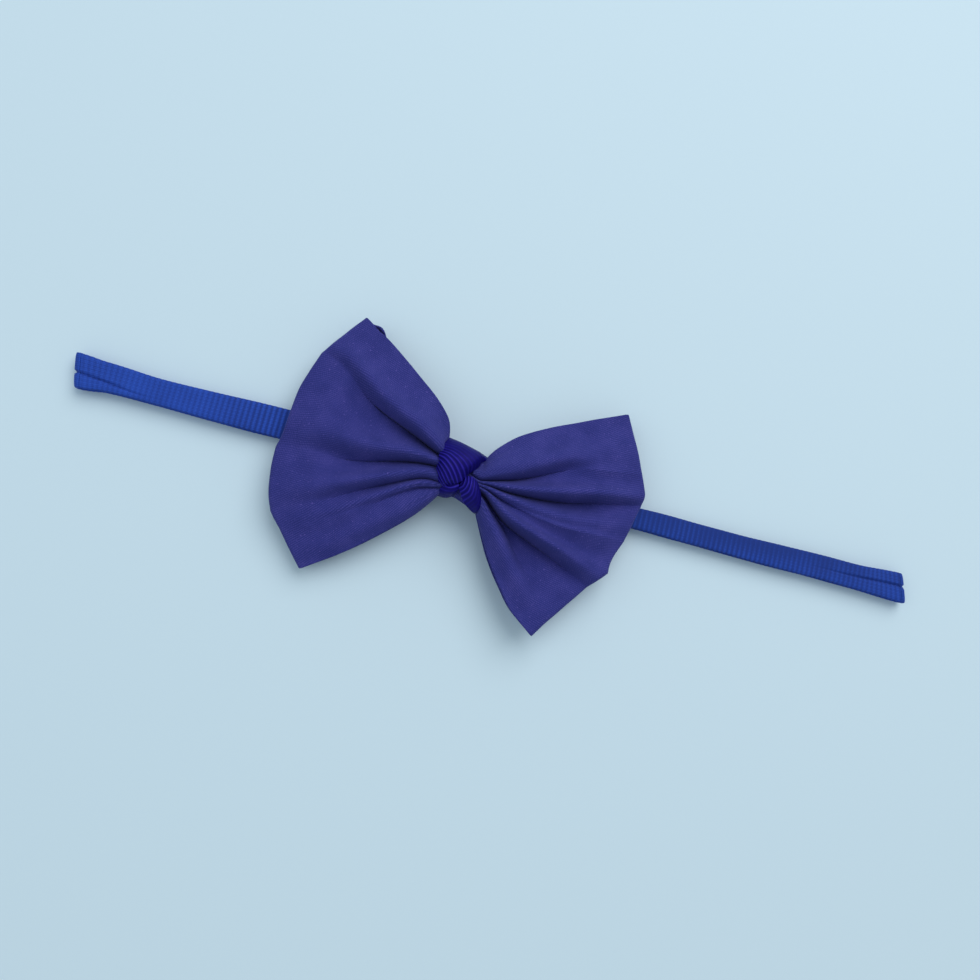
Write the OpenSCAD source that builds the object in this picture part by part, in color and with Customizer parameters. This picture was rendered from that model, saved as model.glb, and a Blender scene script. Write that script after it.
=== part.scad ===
// Hair bow: a pleated twill bow held by a knotted grosgrain ribbon on a soft
// ribbed elastic headband, lying flat with the loop of the band closed.
// X runs along the band, Y is up across the bow, Z is away from the head.
// Z = 0 is the surface that the back of the band lies on.

/* [Headband] */
// Thickness of the knitted band
band_t = 1.4; // [1.2:0.1:1.4]
// Width of the band where it turns round at its ends
band_w_end = 8.4; // [7.6:0.2:9]
// Width of the band just left of the bow
band_w_mid = 7.4; // [6.4:0.2:7.6]
// Width of the band just right of the bow, where it is drawn in
band_w_in = 5.6; // [5.4:0.1:7.4]
// Distance from the knot to the left turn's outside
left_reach = 97.8; // [90:0.1:110]
// Distance from the knot to the right turn's outside
right_reach = 121.6; // [110:0.1:130]
// Length of thread stitches that join the elastic into a loop
join_stitch = 5; // [4:0.5:6]

/* [Bow] */
// Thickness of the doubled twill in each wing
cloth_t = 0.8; // [0.6:0.1:1]
// Height of the pleats in the front of each wing
pleat = 1.3; // [0.6:0.1:1.6]
// How far the middle of each wing puffs up
puff = 2.6; // [1:0.1:3]
// Half of the gathered waist's height across the bow
waist_hy = 6; // [5:0.1:6]
// Half of the gathered waist's thickness
waist_hz = 3.2; // [2.6:0.1:3.2]

/* [Knot ribbon] */
// Thickness of the grosgrain ribbon
ribbon_t = 0.3; // [0.2:0.05:0.3]
// Width of the ribbon round the waist
ribbon_w = 9; // [8:0.5:9.5]
// Height of the tied knot above the waist
knot_h = 2.9; // [2:0.1:3.2]

/* [Hidden] */

band_blue = [0.18, 0.30, 0.58];
cloth_violet = [0.21, 0.22, 0.47];
ribbon_blue = [0.12, 0.09, 0.44];
thread_blue = [0.16, 0.16, 0.42];

gap = 1.2;                       // clear space inside the flattened loop
front_z = band_t + gap;          // underside of the front strand
turn_r = gap / 2;                // inside radius of each turn
left_x = -left_reach + turn_r + band_t;
right_x = right_reach - turn_r - band_t;
lift_left = -30;                 // the front strand stays straight between
lift_right = 42;                 // these two places as the loop opens
joint_gap = 0.3;

waist_x = [-6.5, 4.5];
waist_y = -1;
waist_z = 8;
wing_z = 8;

// half width of the band at x
function half_w(x) = lookup(x, [[left_x, band_w_end / 2],
    [left_x + 6, band_w_end / 2 - 0.7], [left_x * 0.8, band_w_mid / 2 - 0.5],
    [-45, band_w_mid / 2], [0, band_w_mid / 2 - 0.3], [45, band_w_in / 2],
    [right_x * 0.76, band_w_in / 2 + 0.2], [right_x - 8, band_w_end / 2 - 0.9],
    [right_x, band_w_end / 2 - 0.5]]);

// outline of a stretch of band from a to b
function strand(a, b, n) = concat(
    [for (i = [0:n]) let (x = a + (b - a) * i / n) [x, -half_w(x)]],
    [for (i = [n:-1:0]) let (x = a + (b - a) * i / n) [x, half_w(x)]]);

module band(a, b, z) {
    translate([0, 0, z]) linear_extrude(band_t) polygon(strand(a, b, 48));
}

module band_turn(x, w, side) {
    translate([x, 0, front_z - turn_r]) rotate([90, 0, 0])
        rotate([0, 0, side > 0 ? -90 : 90])
            rotate_extrude(angle = 180, $fn = 48)
                translate([turn_r, -w / 2]) square([band_t, w]);
}

module band_front_strand() {
    color(band_blue) band(lift_left, lift_right, front_z);
}
module band_front_left() {
    color(band_blue) band(left_x, lift_left - joint_gap, front_z);
}
module band_front_right() {
    color(band_blue) band(lift_right + joint_gap, right_x, front_z);
}
module band_back_strand() {
    color(band_blue) band(left_x, right_x, 0);
}
module band_left_turn() {
    color(band_blue) band_turn(left_x, band_w_end, -1);
}
module band_right_turn() {
    color(band_blue) band_turn(right_x, band_w_end - 1, 1);
}
// zigzag of sewing thread where the two ends of the elastic are joined
module band_join_stitches() {
    color(thread_blue) for (i = [0:5])
        translate([72 + i * 1.6, 0, band_t + 0.2]) rotate([90, 0, i % 2 == 0 ? 14 : -14])
            cylinder(d = 0.4, h = join_stitch, center = true, $fn = 16);
}

// closed curve of the gathered waist, grown by g
function waist_ring(g, n) = [for (i = [0:n - 1]) let (a = 360 * i / n,
    c = cos(a), s = sin(a), k = 1 / pow(pow(abs(c), 2.6) + pow(abs(s), 2.6), 1 / 2.6))
    [waist_y + (waist_hy + g) * k * c, waist_z + (waist_hz + g) * k * s]];

// puts a YZ outline on its place and gives it a length along X
module along_x(a, b) {
    translate([a, 0, 0]) rotate([90, 0, 90]) linear_extrude(b - a) children();
}

// fabric of the bow where it is gathered, with small pleat grooves
module bow_waist() {
    n = 72;
    pts = [for (i = [0:n - 1]) let (a = 360 * i / n, c = cos(a), s = sin(a),
        k = 1 / pow(pow(abs(c), 2.6) + pow(abs(s), 2.6), 1 / 2.6) * (1 - 0.05 * (1 + cos(a * 12)) / 2))
        [waist_y + waist_hy * k * c, waist_z + waist_hz * k * s]];
    color(cloth_violet) along_x(waist_x[0], waist_x[1]) polygon(pts);
}

// closed solid between two grids of points of the same size
module shell(A, B) {
    r = len(A); c = len(A[0]);
    pts = concat([for (i = [0:r - 1]) for (j = [0:c - 1]) A[i][j]],
        [for (i = [0:r - 1]) for (j = [0:c - 1]) B[i][j]]);
    o = r * c;
    tri = concat(
        [for (i = [0:r - 2]) for (j = [0:c - 2]) each [
            [i * c + j, i * c + j + 1, (i + 1) * c + j + 1], [i * c + j, (i + 1) * c + j + 1, (i + 1) * c + j],
            [o + i * c + j, o + (i + 1) * c + j + 1, o + i * c + j + 1], [o + i * c + j, o + (i + 1) * c + j, o + (i + 1) * c + j + 1]]],
        [for (i = [0:r - 2]) each [
            [i * c, (i + 1) * c, o + (i + 1) * c], [i * c, o + (i + 1) * c, o + i * c],
            [i * c + c - 1, o + (i + 1) * c + c - 1, (i + 1) * c + c - 1], [i * c + c - 1, o + i * c + c - 1, o + (i + 1) * c + c - 1]]],
        [for (j = [0:c - 2]) each [
            [j, o + j + 1, j + 1], [j, o + j, o + j + 1],
            [(r - 1) * c + j, (r - 1) * c + j + 1, o + (r - 1) * c + j + 1], [(r - 1) * c + j, o + (r - 1) * c + j + 1, o + (r - 1) * c + j]]]);
    polyhedron(points = pts, faces = tri, convexity = 6);
}

// three turns of thread that hold the gathers
module gathering_thread() {
    d = 0.36;
    turns = 3; n = 40; m = 6;
    ring = waist_ring(0.24, n);
    path = [for (i = [0:turns * n]) let (p = ring[i % n]) [waist_x[0] + 3.5 + 1.4 * i / n, p[0], p[1]]];
    color(thread_blue) {
        rings = [for (i = [0:turns * n]) let (q = ring[i % n], v = [q[0] - waist_y, q[1] - waist_z],
            u = v / norm(v))
            [for (k = [0:m - 1]) let (a = 360 * k / m)
                path[i] + d / 2 * (cos(a) * [1, 0, 0] + sin(a) * [0, u[0], u[1]])]];
        cnt = len(rings);
        polyhedron(points = [for (r = rings) each r],
            faces = concat([[for (k = [0:m - 1]) k]],
                [[for (k = [m - 1:-1:0]) (cnt - 1) * m + k]],
                [for (i = [0:cnt - 2]) for (k = [0:m - 1]) each [
                    [i * m + k, (i + 1) * m + k, i * m + (k + 1) % m],
                    [i * m + (k + 1) % m, (i + 1) * m + k, (i + 1) * m + (k + 1) % m]]]), convexity = 8);
    }
}

// a flat strip of thickness t that follows the YZ points p
function unit(v) = v / norm(v);
function side(p, i) = let (a = p[max(0, i - 1)], b = p[min(len(p) - 1, i + 1)], u = unit(b - a)) [-u[1], u[0]];
function strip(p, t) = concat([for (i = [0:len(p) - 1]) p[i] + side(p, i) * t / 2],
    [for (i = [len(p) - 1:-1:0]) p[i] - side(p, i) * t / 2]);

// the tail that goes over the upper edge, then behind the front strand
upper_path = [[2.4, 12.3], [4.2, 12], [5.5, 11.1], [6.2, 9.6], [6.4, 8], [6.3, 6.2], [5.8, 4.4], [5.1, 3], [4.2, 2.3], [3.2, 2.15], [-3.4, 2.15]];
// the tail that comes up from below, lapped under the first
lower_path = [[-4.4, 12.3], [-6.2, 12], [-7.5, 11.1], [-8.2, 9.6], [-8.4, 8], [-8.1, 6.2], [-7.1, 4.4], [-5.9, 3], [-4.6, 2.2], [-3.4, 1.85], [2.6, 1.85]];
module ribbon_upper_tail() {
    color(ribbon_blue) along_x(-1.2 - ribbon_w / 2, -1.2 + ribbon_w / 2) polygon(strip(upper_path, ribbon_t));
}
module ribbon_lower_tail() {
    color(ribbon_blue) along_x(-1 - ribbon_w / 2, -1 + ribbon_w / 2) polygon(strip(lower_path, ribbon_t));
}
// tacks of thread through the lapped tails
module ribbon_tack_stitches() {
    color(thread_blue) for (x = [-4, -2, 0, 2])
        translate([x, -0.4, 1.7]) cylinder(d = 0.5, h = 0.6, $fn = 20);
}

// domed outline with half width a, foot z0 and height h
function dome(a, z0, h, n) = [for (i = [0:n]) let (q = 180 * i / n) [a * cos(q), z0 + h * pow(abs(sin(q)), 0.8)]];

module turned(angle, x, y) {
    translate([x, y, 0]) rotate([0, 0, angle]) children();
}
module knot_core() {
    color(ribbon_blue) turned(-52, -1.6, -0.9) along_x(-3.4, 3.4)
        polygon(dome(3.9, 12.5, knot_h - 0.6, 20));
}
// the strand that crosses over the front of the knot
module knot_crossing_strand() {
    color(ribbon_blue) turned(-52, -1.6, -0.9) along_x(-3.1, 3.1)
        polygon(concat(dome(4.4, 12.5, knot_h, 24), [for (i = [24:-1:0]) dome(3.95, 12.5, knot_h - 0.55, 24)[i]]));
}
// the fold that spreads from the knot over the upper edge
module knot_top_fold() {
    color(ribbon_blue) translate([0, 0, 12.5]) linear_extrude(1) polygon([[-5.6, 4.6], [4.2, 3.4], [4.4, 1.4], [2.6, 0.4], [1.4, 2.6], [-3, 4]]);
}
// the fold that runs from the knot over the lower edge
module knot_lower_fold() {
    color(ribbon_blue) translate([0, 0, 12.5]) linear_extrude(0.9) polygon([[-5, -4.2], [-3.6, -6.6], [3.4, -7.2], [4.4, -5], [3.4, -2.2], [1.2, -4.6], [-1.6, -5]]);
}

// rays of each wing: where each starts at the neck and ends at the outer edge,
// and whether it is a ridge (1) or a valley (-1) of the pleats
left_neck = -9.3;
left_rays = [[10.5, -33, 31, 0], [8.5, -37, 25.5, 0.8], [6, -40.5, 19.5, 0.4], [4, -43, 13.5, -1], [2.4, -44.5, 7, 0.5],
    [0.8, -45, 1, 0.9], [-1.6, -45.5, -5.5, -1], [-3.4, -45, -12.5, 0.9], [-5.4, -44, -19, -0.9], [-8, -40.5, -24, 0.7], [-11.5, -33, -33, 0]];
right_neck = 7.3;
right_rays = [[6.8, 37.5, 24.5, 0], [5, 40, 18, 0.9], [3, 43, 11.5, 0.6], [0.6, 45.5, 6, -0.9], [-1.4, 45.5, 1.5, 0.7],
    [-3.2, 44.5, -3.5, -0.7], [-5, 42, -10, 0.9], [-7, 41, -16, -0.4], [-8.6, 36.5, -21.5, -1], [-11, 31.5, -28.5, 0.6], [-14, 25.5, -35.5, 0]];
stations = 8;
tuck = 1.6;                      // how far the end fold stands past the layers

function ray_dir(neck, r) = unit([r[1] - neck, r[2] - r[0]]);
function ray_xy(neck, r, s) = let (d = ray_dir(neck, r), e = [r[1], r[2]] - tuck * d)
    [neck + (e[0] - neck) * s, r[0] + (e[1] - r[0]) * s];
// droop of the outer corners, past the edge of the band
function droop(y, s) = 2.2 * s * pow(max(0, abs(y) - 6) / 28, 1.5);
// middle of the front layer and of the back layer
function front_mid(neck, r, s) = let (p = ray_xy(neck, r, s), edge = r[3] == 0 ? 0.25 : 1)
    [p[0], p[1], 10.4 - 3 * s * s + edge * puff * sin(180 * pow(s, 0.8)) + pleat * r[3] * (1 - 0.65 * s) - droop(p[1], s)];
function back_mid(neck, r, s) = let (p = ray_xy(neck, r, s))
    [p[0], p[1], 5.1 - 0.2 * s - droop(p[1], s)];

module wing_front(neck, rays) {
    up = [0, 0, cloth_t / 2];
    A = [for (r = rays) [for (i = [0:stations]) front_mid(neck, r, i / stations) + up]];
    B = [for (r = rays) [for (i = [0:stations]) front_mid(neck, r, i / stations) - up]];
    if (neck > 0) shell(A, B); else shell(B, A);
}
module wing_back(neck, rays) {
    up = [0, 0, cloth_t / 2];
    A = [for (r = rays) [for (i = [0:stations]) back_mid(neck, r, i / stations) + up]];
    B = [for (r = rays) [for (i = [0:stations]) back_mid(neck, r, i / stations) - up]];
    if (neck > 0) shell(A, B); else shell(B, A);
}
module wing_end_fold(neck, rays) {
    n = 8;
    function arc(r, grow) = let (f = front_mid(neck, r, 1), b = back_mid(neck, r, 1), d = ray_dir(neck, r),
        h = (f[2] - b[2]) / 2 + grow)
        [for (k = [0:n]) let (a = 90 - 180 * k / n)
            [f[0] + d[0] * (tuck + grow - cloth_t / 2) * cos(a), f[1] + d[1] * (tuck + grow - cloth_t / 2) * cos(a), (f[2] + b[2]) / 2 + h * sin(a)]];
    A = [for (r = rays) arc(r, cloth_t / 2)];
    B = [for (r = rays) arc(r, -cloth_t / 2)];
    if (neck > 0) shell(A, B); else shell(B, A);
}

module left_wing_front() { color(cloth_violet) wing_front(left_neck, left_rays); }
module left_wing_back() { color(cloth_violet) wing_back(left_neck, left_rays); }
module left_wing_end_fold() { color(cloth_violet) wing_end_fold(left_neck, left_rays); }
module right_wing_front() { color(cloth_violet) wing_front(right_neck, right_rays); }
module right_wing_back() { color(cloth_violet) wing_back(right_neck, right_rays); }
module right_wing_end_fold() { color(cloth_violet) wing_end_fold(right_neck, right_rays); }

band_front_strand();
band_front_left();
band_front_right();
band_back_strand();
band_left_turn();
band_right_turn();
band_join_stitches();
bow_waist();
gathering_thread();
ribbon_upper_tail();
ribbon_lower_tail();
ribbon_tack_stitches();
knot_core();
knot_crossing_strand();
knot_top_fold();
knot_lower_fold();
left_wing_front();
left_wing_back();
left_wing_end_fold();
right_wing_front();
right_wing_back();
right_wing_end_fold();
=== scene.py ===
import bpy, bmesh, math
import numpy as np
from mathutils import Matrix, Vector


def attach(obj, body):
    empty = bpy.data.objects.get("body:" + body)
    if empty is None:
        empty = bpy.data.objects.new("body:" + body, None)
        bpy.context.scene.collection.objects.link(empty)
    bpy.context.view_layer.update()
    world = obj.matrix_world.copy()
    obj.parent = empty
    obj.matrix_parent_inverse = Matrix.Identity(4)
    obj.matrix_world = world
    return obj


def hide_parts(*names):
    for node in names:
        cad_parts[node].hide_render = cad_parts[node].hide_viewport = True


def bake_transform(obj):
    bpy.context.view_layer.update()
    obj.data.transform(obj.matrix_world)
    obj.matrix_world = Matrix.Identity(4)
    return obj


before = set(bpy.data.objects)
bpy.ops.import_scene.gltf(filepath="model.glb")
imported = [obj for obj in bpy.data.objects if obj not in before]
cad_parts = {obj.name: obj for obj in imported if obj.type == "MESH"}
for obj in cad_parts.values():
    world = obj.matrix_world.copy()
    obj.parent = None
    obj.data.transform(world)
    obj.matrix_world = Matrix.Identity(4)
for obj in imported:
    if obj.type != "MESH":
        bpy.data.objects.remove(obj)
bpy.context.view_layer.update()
MM = 0.001
rng = np.random.RandomState(7)

# ------------------------------------------------------------------ camera
cam_data = bpy.data.cameras.new("camera")
cam_data.lens = 30.75
cam_data.sensor_width = 36.0
cam_data.clip_start = 0.01
cam_data.clip_end = 10
cam = bpy.data.objects.new("camera", cam_data)
bpy.context.scene.collection.objects.link(cam)
right = Vector((0.9638, 0.2384, 0.1198)).normalized()
back = Vector((-0.0891, -0.1355, 0.9868)).normalized()
up = back.cross(right).normalized()
right = up.cross(back).normalized()
m = Matrix.Identity(4)
for i in range(3):
    m[i][0], m[i][1], m[i][2] = right[i], up[i], back[i]
m[0][3], m[1][3], m[2][3] = -0.01114, -0.03144, 0.2120
cam.matrix_world = m
bpy.context.scene.camera = cam
bpy.context.scene.view_settings.view_transform = "Standard"

# ------------------------------------------------------------------ number helpers

def smooth(x):
    x = np.clip(x, 0, 1)
    return x * x * (3 - 2 * x)


def catmull(pts, n):
    """n points, evenly spaced along a smooth curve through pts."""
    p = np.asarray(pts, float)
    ext = np.vstack([2 * p[0] - p[1], p, 2 * p[-1] - p[-2]])
    out = []
    for i in range(1, len(ext) - 2):
        p0, p1, p2, p3 = ext[i - 1], ext[i], ext[i + 1], ext[i + 2]
        t1 = max(np.linalg.norm(p1[:3] - p0[:3]), 1e-6) ** 0.5
        t2 = max(np.linalg.norm(p2[:3] - p1[:3]), 1e-6) ** 0.5
        t3 = max(np.linalg.norm(p3[:3] - p2[:3]), 1e-6) ** 0.5
        m1 = (p2 - p1) + t2 * ((p1 - p0) / t1 - (p2 - p0) / (t1 + t2))
        m2 = (p2 - p1) + t2 * ((p3 - p2) / t3 - (p3 - p1) / (t2 + t3))
        u = np.linspace(0, 1, 40, endpoint=False)[:, None]
        out.append((2 * u**3 - 3 * u**2 + 1) * p1 + (u**3 - 2 * u**2 + u) * m1 + (-2 * u**3 + 3 * u**2) * p2 + (u**3 - u**2) * m2)
    out = np.vstack(out + [p[-1:]])
    return resample(out, n)


def resample(line, n, dims=3):
    d = np.r_[0, np.cumsum(np.linalg.norm(np.diff(line[:, :dims], axis=0), axis=1))]
    s = np.linspace(0, d[-1], n) if np.isscalar(n) else np.asarray(n) * d[-1]
    return np.stack([np.interp(s, d, line[:, k]) for k in range(line.shape[1])], 1)


def table(x, xs, ys):
    """A smooth curve through (xs, ys), read at x, with no overshoot."""
    x = np.asarray(x, float)
    xs, ys = np.asarray(xs, float), np.asarray(ys, float)
    d = np.diff(ys) / np.diff(xs)
    mm = np.r_[d[0], np.where(d[:-1] * d[1:] > 0, 2 * d[:-1] * d[1:] / (d[:-1] + d[1:] + 1e-12), 0), d[-1]]
    i = np.clip(np.searchsorted(xs, x) - 1, 0, len(xs) - 2)
    h = xs[i + 1] - xs[i]
    u = np.clip((x - xs[i]) / h, 0, 1)
    return ((2 * u**3 - 3 * u**2 + 1) * ys[i] + (u**3 - 2 * u**2 + u) * h * mm[i]
            + (-2 * u**3 + 3 * u**2) * ys[i + 1] + (u**3 - u**2) * h * mm[i + 1])


def waves(x, y, seed, size):
    """Soft irregular undulation from -1 to 1, about size across."""
    r = np.random.RandomState(seed)
    z = np.zeros(np.broadcast(x, y).shape)
    for k in range(9):
        a = r.uniform(0, 2 * math.pi)
        f = 2 * math.pi / (size * r.uniform(0.7, 1.6))
        z = z + np.sin(f * (x * math.cos(a) + y * math.sin(a)) + r.uniform(0, 6.28))
    return z / 4.5


# ------------------------------------------------------------------ mesh helpers

def make_mesh(name, verts, faces, uvs=None, material=None):
    me = bpy.data.meshes.new(name)
    me.from_pydata((np.asarray(verts) * MM).tolist(), [], faces)
    if uvs is not None:
        layer = me.uv_layers.new(name="cloth")
        idx = np.zeros(len(me.loops), np.int32)
        me.loops.foreach_get("vertex_index", idx)
        layer.data.foreach_set("uv", np.asarray(uvs, np.float32)[idx].ravel())
    me.validate()
    bm = bmesh.new()
    bm.from_mesh(me)
    bmesh.ops.recalc_face_normals(bm, faces=bm.faces)
    bm.to_mesh(me)
    bm.free()
    me.polygons.foreach_set("use_smooth", [True] * len(me.polygons))
    me.update()
    o = bpy.data.objects.new(name, me)
    bpy.context.scene.collection.objects.link(o)
    if material:
        me.materials.append(material)
    return o


def normals(P):
    du = np.gradient(P, axis=0)
    dv = np.gradient(P, axis=1)
    n = np.cross(du, dv)
    return n / (np.linalg.norm(n, axis=2, keepdims=True) + 1e-12)


def thick_sheet(name, P, thick, uv, material, top=None, bottom=None, rim=3, edge=1.0):
    """A closed sheet of that thickness on the grid P, with rounded edges along both sides."""
    nu, nv, _ = P.shape
    N = normals(P)
    t1 = thick / 2 + (0 if top is None else top)
    t2 = thick / 2 + (0 if bottom is None else bottom)
    t1 = np.broadcast_to(t1, (nu, nv))[..., None]
    t2 = np.broadcast_to(t2, (nu, nv))[..., None]
    A, B = P + N * t1, P - N * t2
    across = np.gradient(P, axis=1)
    across /= np.linalg.norm(across, axis=2, keepdims=True) + 1e-12
    rows = [A[:, j] for j in range(nv)]
    uvr = [uv[:, j] for j in range(nv)]
    for k in range(1, rim + 1):
        a = math.pi * k / (rim + 1)
        rows.append(P[:, -1] + N[:, -1] * math.cos(a) * t1[:, -1] * edge + across[:, -1] * math.sin(a) * thick / 2 * edge)
        uvr.append(uv[:, -1] + np.array([0, math.sin(a) * thick / 2]))
    for j in range(nv - 1, -1, -1):
        rows.append(B[:, j])
        uvr.append(uv[:, j])
    for k in range(1, rim + 1):
        a = math.pi * k / (rim + 1)
        rows.append(P[:, 0] - N[:, 0] * math.cos(a) * t1[:, 0] * edge - across[:, 0] * math.sin(a) * thick / 2 * edge)
        uvr.append(uv[:, 0] - np.array([0, math.sin(a) * thick / 2]))
    G = np.stack(rows, 1)
    U = np.stack(uvr, 1)
    return tube_mesh(name, G, U, material, nv, rim)


def tube_mesh(name, G, U, material, nv=None, rim=0):
    """Closed tube from rings G (n, m, 3), with its two ends closed by quads where it is a flat sheet, else by a fan."""
    n, mm_, _ = G.shape
    verts = G.reshape(-1, 3)
    uvs = U.reshape(-1, 2)
    i = np.arange(n - 1)[:, None] * mm_
    j = np.arange(mm_)[None, :]
    k = (j + 1) % mm_
    quads = np.stack([i + j, i + k, i + mm_ + k, i + mm_ + j], -1).reshape(-1, 4)[:, ::-1]
    faces = quads.tolist()
    if nv is not None:
        for end, flip in ((0, False), (n - 1, True)):
            o = end * mm_
            ring = []
            for q in range(nv - 1):
                a, b = q, q + 1
                c, d = nv + rim + (nv - 1 - b), nv + rim + (nv - 1 - a)
                f = [o + a, o + b, o + c, o + d]
                faces.append(f if not flip else f[::-1])
            e = [o + nv - 1] + [o + nv + r for r in range(rim)] + [o + nv + rim]
            faces.append(e if not flip else e[::-1])
            s0 = nv + rim + nv
            e = [o + s0 - 1] + [o + s0 + r for r in range(rim)] + [o]
            faces.append(e if not flip else e[::-1])
    else:
        faces.append([q for q in range(mm_)])
        faces.append([(n - 1) * mm_ + q for q in range(mm_ - 1, -1, -1)])
    return make_mesh(name, verts, faces, uvs, material)


# ------------------------------------------------------------------ materials

def new_material(name):
    mt = bpy.data.materials.new(name)
    mt.use_nodes = True
    nt = mt.node_tree
    nt.nodes.clear()
    out = nt.nodes.new("ShaderNodeOutputMaterial")
    b = nt.nodes.new("ShaderNodeBsdfPrincipled")
    nt.links.new(b.outputs[0], out.inputs[0])
    return mt, nt, b


def node(nt, kind, **kw):
    n = nt.nodes.new(kind)
    for k, v in kw.items():
        if k.startswith("in_"):
            n.inputs[k[3:].replace("_", " ")].default_value = v
        else:
            setattr(n, k, v)
    return n


def math_node(nt, op, a, b=None, c=None, clamp=False):
    n = nt.nodes.new("ShaderNodeMath")
    n.operation = op
    n.use_clamp = clamp
    for k, v in enumerate((a, b, c)):
        if v is None:
            continue
        if hasattr(v, "links"):
            nt.links.new(v, n.inputs[k])
        else:
            n.inputs[k].default_value = v
    return n.outputs[0]


def ramp(nt, fac, stops):
    r = nt.nodes.new("ShaderNodeValToRGB")
    el = r.color_ramp.elements
    while len(el) > 1:
        el.remove(el[-1])
    el[0].position, el[0].color = stops[0][0], (*stops[0][1], 1)
    for p, c in stops[1:]:
        e = el.new(p)
        e.color = (*c, 1)
    nt.links.new(fac, r.inputs[0])
    return r.outputs[0]


def scaled_uv(nt):
    """The cloth's own coordinates in millimetres: U along the strip, V across it."""
    uv = nt.nodes.new("ShaderNodeUVMap")
    uv.uv_map = "cloth"
    sep = nt.nodes.new("ShaderNodeSeparateXYZ")
    nt.links.new(uv.outputs[0], sep.inputs[0])
    return uv.outputs[0], sep.outputs[0], sep.outputs[1]


def twill_material(name, dark, mid, light, pitch=0.6, angle=32, bump=0.35, relief=0.035):
    mt, nt, b = new_material(name)
    uv, u, v = scaled_uv(nt)
    a = math.radians(angle)
    # slow wobble of the yarns
    wob = node(nt, "ShaderNodeTexNoise", in_Scale=0.35, in_Detail=2.0)
    nt.links.new(uv, wob.inputs["Vector"])
    w = math_node(nt, "MULTIPLY", math_node(nt, "SUBTRACT", wob.outputs["Fac"], 0.5), 0.5)
    q = math_node(nt, "ADD", math_node(nt, "MULTIPLY", u, -math.sin(a)), math_node(nt, "MULTIPLY", v, math.cos(a)))
    q = math_node(nt, "ADD", q, w)
    p = math_node(nt, "ADD", math_node(nt, "MULTIPLY", u, math.cos(a)), math_node(nt, "MULTIPLY", v, math.sin(a)))
    line = math_node(nt, "MULTIPLY_ADD", math_node(nt, "SINE", math_node(nt, "MULTIPLY", q, 2 * math.pi / pitch)), 0.5, 0.5)
    line = math_node(nt, "POWER", line, 0.8)
    # short floats along each line, offset from one line to the next
    row = math_node(nt, "FLOOR", math_node(nt, "DIVIDE", q, pitch))
    ph = math_node(nt, "ADD", math_node(nt, "MULTIPLY", p, 2 * math.pi / 0.55), math_node(nt, "MULTIPLY", row, 2.1))
    flt = math_node(nt, "MULTIPLY_ADD", math_node(nt, "SINE", ph), 0.5, 0.5)
    weave = math_node(nt, "MULTIPLY", line, math_node(nt, "MULTIPLY_ADD", flt, 0.45, 0.55))
    # fibre fuzz and slubs
    fz = node(nt, "ShaderNodeTexNoise", in_Scale=3.2, in_Detail=4.0, in_Roughness=0.7)
    nt.links.new(uv, fz.inputs["Vector"])
    slub = node(nt, "ShaderNodeTexNoise", in_Scale=0.16, in_Detail=3.0)
    nt.links.new(uv, slub.inputs["Vector"])
    tone = math_node(nt, "MULTIPLY_ADD", weave, 0.24, math_node(nt, "MULTIPLY", fz.outputs["Fac"], 0.56))
    tone = math_node(nt, "ADD", tone, math_node(nt, "MULTIPLY", slub.outputs["Fac"], 0.30), clamp=True)
    lint = node(nt, "ShaderNodeTexNoise", in_Scale=1.9, in_Detail=1.0)
    nt.links.new(uv, lint.inputs["Vector"])
    tone = math_node(nt, "ADD", tone, math_node(nt, "MULTIPLY", math_node(nt, "GREATER_THAN", lint.outputs["Fac"], 0.71), 0.3), clamp=True)
    col = ramp(nt, tone, [(0.26, dark), (0.54, mid), (0.86, light)])
    nt.links.new(col, b.inputs["Base Color"])
    b.inputs["Roughness"].default_value = 0.92
    b.inputs["Specular IOR Level"].default_value = 0.25
    b.inputs["Sheen Weight"].default_value = 0.08
    b.inputs["Sheen Roughness"].default_value = 0.5
    b.inputs["Sheen Tint"].default_value = (0.5, 0.5, 1.0, 1)
    h = math_node(nt, "ADD", weave, math_node(nt, "MULTIPLY", fz.outputs["Fac"], 0.6))
    bp = node(nt, "ShaderNodeBump", in_Strength=bump, in_Distance=relief * MM)
    nt.links.new(h, bp.inputs["Height"])
    nt.links.new(bp.outputs[0], b.inputs["Normal"])
    return mt


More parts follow.
